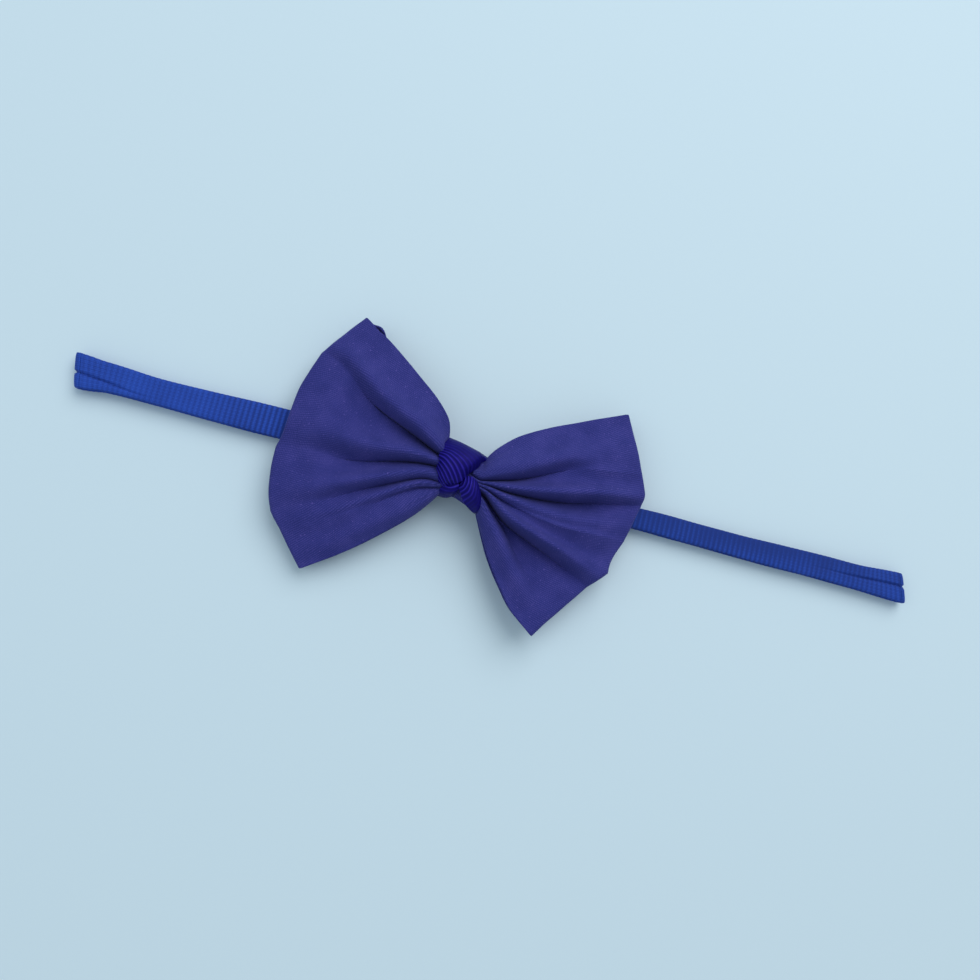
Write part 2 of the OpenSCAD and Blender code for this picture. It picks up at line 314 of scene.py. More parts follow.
def ribbon_material(name, dark, mid, light, pitch=0.95):
    """Grosgrain: ribs across the ribbon, crossed by fine warp threads, with a painted highlight on top of each rib and
    a slight specular sheen.
    """
    mt, nt, b = new_material(name)
    uv, u, v = scaled_uv(nt)
    rib = math_node(nt, "MULTIPLY_ADD", math_node(nt, "COSINE", math_node(nt, "MULTIPLY", u, 2 * math.pi / pitch)), 0.5, 0.5)
    warp = math_node(nt, "MULTIPLY_ADD", math_node(nt, "SINE", math_node(nt, "MULTIPLY", v, 2 * math.pi / 0.28)), 0.5, 0.5)
    fz = node(nt, "ShaderNodeTexNoise", in_Scale=4.0, in_Detail=3.0)
    nt.links.new(uv, fz.inputs["Vector"])
    patch = node(nt, "ShaderNodeTexNoise", in_Scale=0.5, in_Detail=2.0)
    nt.links.new(uv, patch.inputs["Vector"])
    t = math_node(nt, "MULTIPLY", math_node(nt, "POWER", rib, 2.2), math_node(nt, "MULTIPLY_ADD", warp, 0.3, 0.7))
    # painted highlight: the rib crests are coloured lighter, scaled by the per-vertex attribute read here, so the
    # crests brighten only where the ribs show fully
    crest_highlight = node(nt, "ShaderNodeAttribute", attribute_name="ribs")
    t = math_node(nt, "MULTIPLY", t, math_node(nt, "MULTIPLY_ADD", crest_highlight.outputs["Fac"], 0.85, 0.15))
    t = math_node(nt, "MULTIPLY_ADD", t, 0.55, math_node(nt, "MULTIPLY", fz.outputs["Fac"], 0.25))
    t = math_node(nt, "ADD", t, math_node(nt, "MULTIPLY", patch.outputs["Fac"], 0.25), clamp=True)
    col = ramp(nt, t, [(0.14, dark), (0.40, mid), (0.88, light)])
    nt.links.new(col, b.inputs["Base Color"])
    b.inputs["Roughness"].default_value = 0.55
    b.inputs["Specular IOR Level"].default_value = 0.22
    b.inputs["Specular Tint"].default_value = (0.55, 0.45, 1.0, 1)
    h = math_node(nt, "ADD", math_node(nt, "MULTIPLY", warp, 0.5), fz.outputs["Fac"])
    bp = node(nt, "ShaderNodeBump", in_Strength=0.35, in_Distance=0.03 * MM)
    nt.links.new(h, bp.inputs["Height"])
    nt.links.new(bp.outputs[0], b.inputs["Normal"])
    return mt


def knit_material(name, dark, mid, light, pitch=1.7):
    """Ribbed nylon knit: soft cross ribs with fine wales along the band."""
    mt, nt, b = new_material(name)
    uv, u, v = scaled_uv(nt)
    wob = node(nt, "ShaderNodeTexNoise", in_Scale=0.6, in_Detail=2.0)
    nt.links.new(uv, wob.inputs["Vector"])
    u2 = math_node(nt, "ADD", u, math_node(nt, "MULTIPLY", math_node(nt, "SUBTRACT", wob.outputs["Fac"], 0.5), 0.3))
    rib = math_node(nt, "MULTIPLY_ADD", math_node(nt, "COSINE", math_node(nt, "MULTIPLY", u2, 2 * math.pi / pitch)), 0.5, 0.5)
    wale = math_node(nt, "MULTIPLY_ADD", math_node(nt, "SINE", math_node(nt, "MULTIPLY", v, 2 * math.pi / 0.42)), 0.5, 0.5)
    fine = math_node(nt, "MULTIPLY_ADD", math_node(nt, "SINE", math_node(nt, "MULTIPLY", u2, 2 * math.pi / 0.34)), 0.5, 0.5)
    fz = node(nt, "ShaderNodeTexNoise", in_Scale=3.5, in_Detail=4.0)
    nt.links.new(uv, fz.inputs["Vector"])
    patch = node(nt, "ShaderNodeTexNoise", in_Scale=0.12, in_Detail=2.0)
    nt.links.new(uv, patch.inputs["Vector"])
    cell = math_node(nt, "MULTIPLY_ADD", math_node(nt, "SINE", math_node(nt, "MULTIPLY", v, 2 * math.pi / 0.9)), 0.5, 0.5)
    t = math_node(nt, "MULTIPLY_ADD", math_node(nt, "MULTIPLY_ADD", cell, 0.6, rib), 0.11, math_node(nt, "MULTIPLY", fz.outputs["Fac"], 0.34))
    t = math_node(nt, "ADD", t, math_node(nt, "MULTIPLY", math_node(nt, "MULTIPLY", wale, fine), 0.26))
    t = math_node(nt, "ADD", t, math_node(nt, "MULTIPLY", patch.outputs["Fac"], 0.3))
    # painted shade: the knit is darkened by the per-vertex attribute read here, in its rib grooves, in its lengthwise
    # crease, and over the right part of the band, most along its +Y edge
    painted_shade = node(nt, "ShaderNodeAttribute", attribute_name="ribs")
    t = math_node(nt, "SUBTRACT", t, math_node(nt, "MULTIPLY", painted_shade.outputs["Fac"], 0.42), clamp=True)
    col = ramp(nt, t, [(0.2, dark), (0.52, mid), (0.88, light)])
    nt.links.new(col, b.inputs["Base Color"])
    b.inputs["Roughness"].default_value = 0.78
    b.inputs["Specular IOR Level"].default_value = 0.3
    b.inputs["Sheen Weight"].default_value = 0.12
    b.inputs["Sheen Roughness"].default_value = 0.4
    b.inputs["Sheen Tint"].default_value = (0.4, 0.55, 1.0, 1)
    h = math_node(nt, "ADD", math_node(nt, "MULTIPLY", wale, fine), math_node(nt, "MULTIPLY", fz.outputs["Fac"], 0.7))
    bp = node(nt, "ShaderNodeBump", in_Strength=0.5, in_Distance=0.06 * MM)
    nt.links.new(h, bp.inputs["Height"])
    nt.links.new(bp.outputs[0], b.inputs["Normal"])
    return mt


def thread_material(name, c):
    mt, nt, b = new_material(name)
    tc = nt.nodes.new("ShaderNodeTexCoord")
    wv = node(nt, "ShaderNodeTexNoise", in_Scale=2600.0, in_Detail=3.0)
    nt.links.new(tc.outputs["Object"], wv.inputs["Vector"])
    col = ramp(nt, wv.outputs["Fac"], [(0.25, tuple(x * 0.55 for x in c)), (0.6, c), (0.85, tuple(min(1, x * 1.7) for x in c))])
    nt.links.new(col, b.inputs["Base Color"])
    b.inputs["Roughness"].default_value = 0.6
    bp = node(nt, "ShaderNodeBump", in_Strength=0.5, in_Distance=0.03 * MM)
    nt.links.new(wv.outputs["Fac"], bp.inputs["Height"])
    nt.links.new(bp.outputs[0], b.inputs["Normal"])
    return mt


TWILL = twill_material("twill", (0.013, 0.015, 0.115), (0.032, 0.036, 0.222), (0.110, 0.086, 0.370), pitch=0.5, angle=16, bump=0.4, relief=0.024)
# the light end of the grosgrain ramp is painted highlight on the rib crests
RIBBON = ribbon_material("grosgrain", (0.003, 0.0018, 0.085), (0.007, 0.0042, 0.175), (0.046, 0.032, 0.450))
KNIT = knit_material("knit", (0.007, 0.032, 0.225), (0.016, 0.068, 0.440), (0.032, 0.115, 0.600), pitch=1.3)
THREAD = thread_material("thread", (0.02, 0.02, 0.16))
BAND_THREAD = thread_material("band_thread", (0.016, 0.060, 0.380))

# ------------------------------------------------------------------ wings
ST = [0, 0.12, 0.3, 0.5, 0.75, 1.0]

LEFT = {
    "curves": [
        [(-4.6, 3.2), (-5.5, 5.2), (-6.1, 8.1), (-6.9, 10.2), (-8.2, 11.9), (-11.8, 15.4), (-16.4, 19.0), (-22.6, 23.8), (-27.8, 27.5), (-33.2, 31.0)],
        [(-4.4, 1.2), (-6.4, 1.6), (-8.2, 2.3), (-13.8, 4.8), (-19.3, 7.0), (-23.9, 9.0), (-28.3, 11.7), (-32.8, 15.1), (-37.0, 17.7), (-41.2, 19.3)],
        [(-4.4, -1.4), (-7.4, -1.1), (-12.1, -1.4), (-16.6, -2.3), (-25.4, -4.6), (-30.0, -5.2), (-34.6, -5.1), (-39.3, -5.3), (-45.6, -6.2)],
        [(-3.6, -4.6), (-5.0, -4.8), (-8.8, -4.8), (-11.9, -5.8), (-15.3, -7.4), (-19.4, -9.4), (-23.6, -11.5), (-27.6, -13.8), (-31.6, -16.2), (-35.5, -18.4), (-42.8, -21.6)],
        [(-3.6, -5.7), (-5.0, -6.1), (-8.3, -6.9), (-10.5, -7.6), (-14.6, -10.2), (-22.2, -15.8), (-30.6, -21.0), (-39.8, -25.0)],
        [(-3.5, -6.6), (-4.4, -7.0), (-5.0, -7.9), (-8.9, -13.2), (-16.5, -20.6), (-24.0, -27.0), (-32.9, -33.2)],
    ],
    "outer": [
        [(-33.2, 31.0), (-35.4, 28.1), (-37.7, 24.5), (-39.7, 21.4), (-41.2, 19.3)],
        [(-41.2, 19.3), (-42.8, 14.1), (-44.0, 9.3), (-44.5, 3.3), (-44.9, -3.0), (-45.6, -6.2)],
        [(-45.6, -6.2), (-45.5, -10.0), (-45.1, -13.4), (-44.2, -17.9), (-42.8, -21.6)],
        [(-42.8, -21.6), (-41.5, -23.2), (-39.8, -25.0)],
        [(-39.8, -25.0), (-36.6, -28.9), (-32.9, -33.2)],
    ],
    "valley": [
        [8.6, 9.8, 10.4, 9.8, 8.5, 7.3],
        [8.0, 7.6, 7.6, 7.9, 8.7, 7.6],
        [8.0, 7.7, 7.6, 7.6, 7.9, 7.3],
        [8.0, 7.8, 7.9, 8.3, 8.5, 7.3],
        [8.2, 8.7, 9.4, 9.4, 8.6, 7.2],
        [7.4, 7.5, 7.5, 7.3, 7.0, 6.6],
    ],
    "ridge": [
        [11.3, 13.5, 14.2, 13.5, 11.6, 8.4],
        [11.3, 12.5, 12.9, 12.4, 10.8, 8.2],
        [11.2, 11.9, 12.0, 11.5, 10.2, 7.9],
        [10.6, 11.2, 11.0, 10.2, 8.9, 7.3],
        [9.8, 10.2, 10.2, 9.4, 8.3, 7.0],
    ],
    "lean": [2.7, 2.1, 1.8, 1.5, 1.2],
    "soften": [0.90, 0.72, 0.75, 0.6, 0.55],
    "tip": (1.2, 0.2),
    "slit": 1.1,
}
RIGHT = {
    "curves": [
        [(2.2, 1.9), (4.2, 3.0), (4.9, 4.2), (6.2, 6.2), (10.0, 10.1), (13.2, 12.4), (18.9, 15.7), (24.7, 18.5), (30.6, 21.4), (37.6, 24.7)],
        [(1.9, -1.5), (3.9, -2.2), (5.6, -1.8), (9.1, -0.6), (13.1, 0.7), (18.7, 3.2), (24.4, 5.9), (29.1, 7.3), (35.9, 8.6), (44.0, 10.3)],
        [(2.0, -2.2), (4.1, -2.8), (6.0, -2.8), (10.9, -3.1), (17.1, -2.8), (26.4, -1.7), (35.4, 0.4), (41.0, 1.5), (45.6, 2.4)],
        [(2.2, -2.9), (4.4, -3.6), (6.7, -4.1), (11.4, -5.6), (18.1, -7.3), (25.8, -8.2), (35.0, -8.0), (43.0, -7.5)],
        [(2.6, -3.7), (4.6, -4.4), (6.4, -5.2), (9.6, -8.0), (12.7, -10.3), (19.6, -13.2), (26.5, -16.0), (30.2, -17.8), (36.5, -20.9)],
        [(3.0, -4.6), (4.7, -5.3), (6.2, -6.4), (8.4, -8.6), (12.1, -12.0), (15.6, -15.9), (18.9, -19.2), (23.7, -23.5), (31.4, -27.7)],
        [(2.6, -6.4), (4.1, -7.2), (5.9, -10.6), (9.0, -16.4), (11.5, -20.6), (15.6, -26.2), (19.6, -30.9), (25.7, -35.6)],
    ],
    "outer": [
        [(37.6, 24.7), (39.5, 20.6), (41.4, 16.5), (44.0, 10.3)],
        [(44.0, 10.3), (45.0, 7.9), (45.7, 5.3), (45.6, 2.4)],
        [(45.6, 2.4), (44.4, -2.1), (43.0, -7.5)],
        [(43.0, -7.5), (41.6, -11.2), (40.9, -13.9), (40.75, -15.9), (40.72, -16.3), (40.4, -16.6), (38.9, -18.2), (36.5, -20.9)],
        [(36.5, -20.9), (34.0, -24.2), (31.4, -27.7)],
        [(31.4, -27.7), (28.4, -31.6), (25.7, -35.6)],
    ],
    "valley": [
        [8.2, 8.8, 9.2, 8.8, 8.0, 7.4],
        [8.2, 7.9, 8.2, 9.6, 11.0, 8.2],
        [8.0, 7.4, 6.9, 6.8, 7.2, 7.2],
        [8.4, 9.4, 11.5, 12.7, 11.8, 8.4],
        [8.0, 7.0, 6.3, 6.1, 6.6, 6.4],
        [8.0, 7.8, 7.9, 8.0, 7.9, 7.3],
        [7.6, 8.0, 8.2, 8.2, 8.2, 7.8],
    ],
    "ridge": [
        [11.3, 12.6, 13.3, 12.6, 10.8, 8.3],
        [11.2, 12.1, 13.1, 13.4, 12.4, 8.8],
        [11.2, 12.1, 12.8, 12.8, 11.6, 8.4],
        [11.2, 12.4, 13.7, 13.7, 12.2, 9.2],
        [9.0, 7.4, 6.8, 7.0, 7.6, 7.1],
        [10.4, 11.2, 11.5, 10.6, 9.0, 7.8],
    ],
    "lean": [2.3, 2.0, 1.8, 2.2, 1.0, 0.75],
    "soften": [0.70, 0.95, 0.80, 0.85, 0.65, 0.6],
    "tip": (0.6, 3.2),
    "slit": 0.0,
}


def wing(name, W, sgn, seed):
    n_front, n_fold, n_back = 130, 16, 60
    per = 32
    K = len(W["curves"])
    s = np.linspace(0, 1, n_front) ** 1.15
    curves = [resample(catmull(c, 400)[:, :2], s, 2) for c in W["curves"]]
    V = [table(s, ST, v) for v in W["valley"]]
    H = [table(s, ST, v) for v in W["ridge"]]
    cols, zf, zb, lobe = [], [], [], []
    for k in range(K - 1):
        tau = np.linspace(0, 1, per, endpoint=(k == K - 2))
        # closer rows of cloth where it turns sharply into the creases
        tau = tau - 0.07 * np.sin(2 * math.pi * tau)
        outer = resample(catmull(W["outer"][k], 200)[:, :2], tau, 2)
        for q, t in enumerate(tau):
            base = (1 - t) * curves[k] + t * curves[k + 1]
            fix = outer[q] - ((1 - t) * curves[k][-1] + t * curves[k + 1][-1])
            cols.append(base + (s[:, None] ** 2) * fix)
            tl = t ** W["lean"][k]
            c = np.sqrt(max(0, 1 - abs(2 * tl - 1) ** 2.2))
            w = 0.5 - 0.5 * math.cos(2 * math.pi * tl)
            n = smooth((s - 0.06) / W["soften"][k])
            f = (1 - n) * c + n * w
            low = (1 - t) * V[k] + t * V[k + 1]
            zf.append(low + (H[k] - low) * f)
            near = 1 - smooth(s / 0.55)
            zb.append(4.95 + near * (0.3 + 1.3 * (1 - c)))
            lobe.append(k + t)
    XY = np.stack(cols, 1)
    ZF = np.stack(zf, 1)
    ZB = np.stack(zb, 1)
    nt_ = XY.shape[1]
    over = np.maximum(0, np.abs(XY[..., 1]) - 6) / 28
    tipv = np.where(XY[..., 1] > 0, W["tip"][0], W["tip"][1])
    drop = (s[:, None] ** 1.3) * over**1.5 * (2.2 - tipv)
    ZF = ZF - drop
    ZB = ZB - drop * 0.95
    # softness of worn cloth
    soft = waves(XY[..., 0], XY[..., 1], seed, 12.0) * 0.20 + waves(XY[..., 0], XY[..., 1], seed + 1, 5.0) * 0.07
    ZF = ZF + soft * smooth(s / 0.3)[:, None]
    # fine tension lines that run out of the gathers
    lb = np.array(lobe)
    lines = sum(np.sin(2 * math.pi * (f * lb + p)) for f, p in ((3.1, 0.2), (4.3, 0.7), (5.7, 0.4))) / 3
    ZF = ZF + 0.15 * lines[None, :] * (np.exp(-((s - 0.16) / 0.16) ** 2))[:, None]
    # the fold where the loop turns back
    d = XY[-1] - XY[-6]
    d /= np.linalg.norm(d, axis=1, keepdims=True)
    bulge = 1.1
    shift = smooth((s - 0.6) / 0.4)[:, None, None] * bulge * d[None]
    F = np.dstack([XY - shift, ZF])
    sb = np.linspace(1, 0, n_back)
    idx = np.interp(sb, s, np.arange(n_front))
    i0 = np.floor(idx).astype(int)
    i1 = np.minimum(i0 + 1, n_front - 1)
    fr = (idx - i0)[:, None, None]
    XYb = (XY - shift)[i0] * (1 - fr) + (XY - shift)[i1] * fr
    ZBb = ZB[i0] * (1 - fr[..., 0]) + ZB[i1] * fr[..., 0]
    yb = XYb[..., 1] * 0.985 - 0.35 * np.sin(np.pi * sb)[:, None]
    # near the outer corner the two layers part, and the back one curls up beside the front one
    e = curves[0][-1] - curves[0][-30]
    e = np.array([-e[1], e[0]]) / np.linalg.norm(e) * (-1 if sgn < 0 else 1)
    part = W["slit"] * np.exp(-((sb - 0.915) / 0.072) ** 2)[:, None]
    peep = 1.3 * part * np.exp(-(lb / 0.2) ** 2)[None, :]
    curl = 1.9 * part * np.exp(-(lb / 0.035) ** 2)[None, :]
    Bk = np.dstack([XYb[..., 0] + peep * e[0], yb + peep * e[1], ZBb + curl])
    back = 0.2 * W["slit"] * np.exp(-((s - 0.905) / 0.05) ** 2)[:, None] * np.exp(-(lb / 0.15) ** 2)[None, :]
    F[..., 0] -= back * e[0]
    F[..., 1] -= back * e[1]
    top, bot = F[-1], Bk[0]
    fold = []
    for q in range(1, n_fold):
        a = math.pi / 2 - math.pi * q / n_fold
        c = (top + bot) / 2 + (top - bot) / 2 * math.sin(a)
        c = c + np.dstack([d[:, 0], d[:, 1], np.zeros(len(d))])[0] * bulge * math.cos(a)
        fold.append(c)
    P = np.concatenate([F, np.stack(fold), Bk], 0)
    # cloth coordinates in millimetres, along and across the strip
    step = np.r_[0, np.cumsum(np.linalg.norm(np.diff(P, axis=0), axis=2).mean(1))]
    wide = np.concatenate([np.zeros((len(P), 1)), np.cumsum(np.linalg.norm(np.diff(P, axis=1), axis=2), 1)], 1)
    mids = np.minimum((lb.astype(int) * per + per // 2), nt_ - 1)
    end_row = wide[n_front - 1]
    near = wide - wide[:, mids] + end_row[mids][None, :]
    sp = np.concatenate([s, np.ones(n_fold - 1), sb])
    mix = smooth((sp - 0.3) / 0.45)[:, None]
    weave_v = near * (1 - mix) + end_row[None, :] * mix
    uv = np.dstack([np.repeat(step[:, None] * sgn, nt_, 1), -weave_v])
    Pm = P if sgn > 0 else P[:, ::-1]
    uvm = uv if sgn > 0 else uv[:, ::-1]
    o = thick_sheet(name, Pm[:, ::-1], 0.5, uvm[:, ::-1], TWILL)
    return o, float(step[-1]), float(wide[n_front].max() - wide[n_front].min())


lw, l_len, l_wide = wing("left_wing_cloth", LEFT, -1, 11)
rw, r_len, r_wide = wing("right_wing_cloth", RIGHT, 1, 23)
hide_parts("left_wing_front", "left_wing_back", "left_wing_end_fold")
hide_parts("right_wing_front", "right_wing_back", "right_wing_end_fold")
for o, b, x0, x1, ln, wd in ((lw, "left_wing", -6.6, -13.5, l_len, l_wide), (rw, "right_wing", 4.6, 11.5, r_len, r_wide)):
    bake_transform(o)

# ------------------------------------------------------------------ waist
def waist():
    n, k = 60, 120
    xs = np.linspace(-6.2, 4.4, n)
    a = np.linspace(0, 2 * math.pi, k, endpoint=False)
    e = 2.6
    G = np.zeros((n, k, 3))
    for i, x in enumerate(xs):
        pin = 1 - 0.1 * math.exp(-((x + 1) / 2.4) ** 2)
        r = 1 / (np.abs(np.cos(a)) ** e + np.abs(np.sin(a)) ** e) ** (1 / e)
        g = 1 - 0.09 * (0.5 + 0.5 * np.cos(11 * a + 0.4 * math.sin(x)))
        yc = -1.9 - 0.18 * (x + 1)
        G[i] = np.stack([np.full(k, x), yc + 6.2 * pin * g * r * np.cos(a), 7.9 + 2.9 * pin * g * r * np.sin(a)], 1)
    U = np.dstack([np.repeat(xs[:, None], k, 1), np.repeat((a * 4.4)[None], n, 0)])
    return tube_mesh("waist_gathers", G, U, TWILL)


w = waist()
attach(w, "bow")
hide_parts("bow_waist")

# ------------------------------------------------------------------ ribbon

def loft(name, rows, ribbed, rib=0.11, thick=0.3, nv=45, per=14, pitch=0.95, material=None, kink=None, fade=1.0, pad=None):
    """A ribbon whose cross ribs lie along the rows; the first `ribbed` rows show their ribs fully.
    pad = (last row, depth, columns left free at each edge): the folded layers packed under it inside the knot."""
    R_ = np.stack([catmull(r, nv) for r in rows])
    h = np.linalg.norm(np.diff(R_, axis=0), axis=2).mean(1)
    M = np.zeros_like(R_)
    for i in range(len(R_)):
        if i == 0:
            M[i] = (R_[1] - R_[0]) / h[0]
        elif i == len(R_) - 1:
            M[i] = (R_[-1] - R_[-2]) / h[-1]
        else:
            M[i] = ((R_[i] - R_[i - 1]) / h[i - 1] * h[i] + (R_[i + 1] - R_[i]) / h[i] * h[i - 1]) / (h[i] + h[i - 1])
    P, ph, amp, row = [], [], [], []
    at = 0.0
    for i in range(len(R_) - 1):
        ribs = max(1, int(round(h[i] / pitch)))
        u = np.linspace(0, 1, per * ribs, endpoint=False)[:, None, None]
        P.append((2 * u**3 - 3 * u**2 + 1) * R_[i] + (u**3 - 2 * u**2 + u) * h[i] * M[i]
                 + (-2 * u**3 + 3 * u**2) * R_[i + 1] + (u**3 - u**2) * h[i] * M[i + 1])
        ph.append(at + u[:, 0, 0] * h[i] / pitch)
        amp.append(np.clip((ribbed + 1 - (i + u[:, 0, 0])) / fade, 0.12, 1))
        row.append(i + u[:, 0, 0])
        at += h[i] / pitch
    P.append(R_[-1:])
    ph.append([at])
    amp.append([0.12])
    row.append([len(R_) - 1.0])
    P, ph, amp, row = np.concatenate(P), np.concatenate(ph), np.concatenate(amp), np.concatenate(row)
    N = normals(P)
    if kink is not None:
        N0 = N if N[2:int(len(P) * 0.3), :, 2].mean() > 0 else -N
        P = P + N0 * kink(row[:, None], np.linspace(-1, 1, nv)[None, :])[..., None]
        N = normals(P)
    n0 = max(2, int(len(P) * 0.3))
    if N[2:n0, :, 2].mean() < 0:
        P = P[:, ::-1]
    v = np.linspace(-1, 1, nv)
    edge = np.clip((1 - np.abs(v)) * 9, 0.35, 1)
    hgt = (rib * amp * (0.5 + 0.5 * np.cos(2 * math.pi * ph)) ** 1.6)[:, None] * edge[None]
    # woven edge: a touch thicker than the rest
    hgt = hgt + 0.04 * np.exp(-((1 - np.abs(v)) / 0.05) ** 2)[None, :] * amp[:, None]
    wd = np.concatenate([np.zeros((len(P), 1)), np.cumsum(np.linalg.norm(np.diff(P, axis=1), axis=2), 1)], 1)
    uv = np.dstack([np.repeat((ph * pitch)[:, None], nv, 1), wd])
    o = thick_sheet(name, P, thick, uv, material or RIBBON, top=hgt, bottom=hgt * 0.3)
    # the per-row rib amount is also stored per vertex as the strength of the painted highlight on the rib crests
    show = np.repeat(amp, len(o.data.vertices) // len(amp))
    o.data.attributes.new("ribs", "FLOAT", "POINT").data.foreach_set("value", show.astype(np.float32))
    if pad is None:
        return o
    keep = row <= pad[0]
    c = pad[2]
    Pp = (P - normals(P) * (thick / 2 + pad[1] / 2 + 0.02))[keep][::3, c:-c]
    inner = thick_sheet(name + "_layers", Pp, pad[1], uv[keep][::3, c:-c], RIBBON)
    # inner layers get only a faint painted crest highlight
    inner.data.attributes.new("ribs", "FLOAT", "POINT").data.foreach_set("value", np.full(len(inner.data.vertices), 0.12, np.float32))
    return o, inner


def level(y, z, xs):
    return [(x, y, z) for x in xs]


BACK_X = (-5.5, -3.0, -0.6, 1.8, 4.0)
over_strand, over_layers = loft("ribbon_over", [
    [(-6.8, -3.1, 8.8), (-6.0, -4.3, 9.4), (-5.2, -5.2, 9.6), (-4.3, -6.0, 9.4), (-3.7, -6.3, 8.8)],
    [(-6.8, -2.1, 10.4), (-6.2, -3.2, 11.6), (-5.3, -4.5, 12.0), (-4.3, -5.4, 11.6), (-3.5, -5.8, 10.6)],
    [(-6.8, -1.1, 11.2), (-6.1, -2.2, 12.8), (-5.0, -3.6, 13.3), (-4.0, -4.7, 12.8), (-3.1, -5.2, 11.4)],
    [(-6.9, 0.2, 11.8), (-5.7, -0.9, 13.9), (-4.2, -2.4, 14.5), (-3.0, -3.8, 14.0), (-2.0, -4.7, 12.4)],
    [(-7.0, 1.5, 12.1), (-5.2, 0.7, 14.4), (-3.3, -0.9, 15.1), (-1.9, -2.5, 14.5), (-0.8, -4.0, 12.9)],
    [(-6.9, 2.3, 12.2), (-4.5, 1.6, 14.5), (-2.4, 0.3, 15.3), (-0.9, -1.1, 14.8), (0.4, -2.9, 13.1)],
    [(-6.7, 3.2, 12.2), (-3.9, 2.6, 14.2), (-1.3, 1.4, 15.0), (0.5, 0.0, 14.6), (1.6, -1.8, 13.1)],
    [(-6.5, 4.1, 12.0), (-3.3, 3.6, 13.8), (-0.5, 2.5, 14.5), (1.6, 1.3, 14.1), (2.8, -0.6, 12.6)],
    [(-6.1, 5.0, 11.5), (-2.9, 4.5, 13.1), (0.2, 3.5, 13.7), (2.5, 2.6, 13.3), (3.9, 1.0, 11.9)],
    [(-5.8, 5.7, 10.7), (-2.7, 5.3, 12.0), (0.5, 4.4, 12.4), (3.1, 3.7, 12.1), (4.5, 2.8, 10.9)],
    [(-5.6, 6.2, 9.8), (-2.6, 5.6, 10.9), (0.6, 4.8, 11.2), (3.4, 4.1, 10.9), (4.7, 3.6, 9.9)],
    [(-5.6, 6.4, 8.2), (-2.7, 5.9, 8.8), (0.5, 5.2, 9.0), (3.2, 4.6, 8.9), (4.7, 4.1, 8.4)],
    [(-5.5, 6.0, 6.0), (-2.8, 5.7, 6.2), (0.2, 5.3, 6.3), (2.9, 4.9, 6.3), (4.5, 4.5, 6.2)],
    [(-5.5, 4.9, 4.1), (-2.9, 4.8, 4.1), (0.0, 4.7, 4.1), (2.5, 4.6, 4.1), (4.2, 4.5, 4.1)],
    level(4.05, 2.75, BACK_X),
    level(3.1, 2.17, BACK_X),
    level(0.0, 2.15, BACK_X),
    level(-3.4, 2.15, BACK_X)], ribbed=6.5, thick=0.24, rib=0.18, fade=3.0,
    kink=lambda i, v: -2.8 * np.clip(v - 0.52, 0, 1) * smooth((i - 4.0) / 2.0) * smooth((11.5 - i) / 2.0), pad=(10.5, 2.0, 8))
turn_strand, turn_layers = loft("ribbon_turn", [
    [(0.0, -2.0, 11.6), (0.0, -3.1, 12.0), (-0.1, -4.1, 11.8), (-0.7, -4.8, 11.2)],
    [(0.7, -2.2, 12.2), (0.9, -3.7, 13.0), (0.7, -5.0, 12.8), (-0.2, -5.8, 11.8)],
    [(1.3, -2.2, 12.5), (1.6, -4.0, 13.4), (1.3, -5.4, 13.2), (0.3, -6.5, 11.8)],
    [(2.0, -2.2, 12.6), (2.2, -4.2, 13.7), (2.1, -5.9, 13.5), (0.7, -7.3, 11.7)],
    [(2.5, -2.4, 12.6), (2.9, -4.5, 13.7), (2.8, -6.4, 13.4), (1.4, -8.2, 11.5)],
    [(3.2, -2.8, 12.5), (3.6, -4.9, 13.5), (3.6, -6.9, 13.1), (2.2, -8.8, 11.2)],
    [(3.8, -3.5, 12.3), (4.3, -5.5, 13.1), (4.3, -7.5, 12.6), (2.9, -9.2, 10.8)],
    [(4.4, -4.4, 12.0), (4.9, -6.3, 12.5), (4.9, -8.3, 11.9), (3.8, -9.7, 10.2)],
    [(5.0, -5.5, 11.4), (5.4, -7.2, 11.6), (5.4, -8.9, 11.0), (4.7, -10.0, 9.6)],
    [(5.2, -6.4, 10.4), (5.6, -8.0, 10.4), (5.6, -9.2, 9.9), (4.9, -10.1, 8.8)],
    [(4.9, -6.4, 8.6), (5.2, -7.8, 8.4), (5.1, -8.8, 8.0), (4.2, -9.6, 7.3)],
    [(4.4, -6.0, 6.4), (4.5, -7.2, 6.0), (4.0, -8.0, 5.8), (3.0, -8.6, 5.6)],
    [(4.0, -5.3, 4.4), (3.6, -6.2, 4.2), (2.8, -6.9, 4.1), (1.4, -7.3, 4.1)],
    [(3.8, -4.7, 3.1), (2.4, -5.1, 3.0), (0.8, -5.4, 3.0), (-1.4, -5.6, 3.0)],
    level(-4.0, 2.05, (3.7, 1.2, -1.5, -4.2)),
    level(-3.2, 1.86, (3.6, 0.8, -2.2, -5.2)),
    level(0.0, 1.85, (3.6, 0.7, -2.4, -5.3)),
    level(2.6, 1.85, (3.6, 0.7, -2.4, -5.3))], ribbed=5.2, thick=0.22, rib=0.17, fade=3.4, pad=(9.0, 2.2, 8))
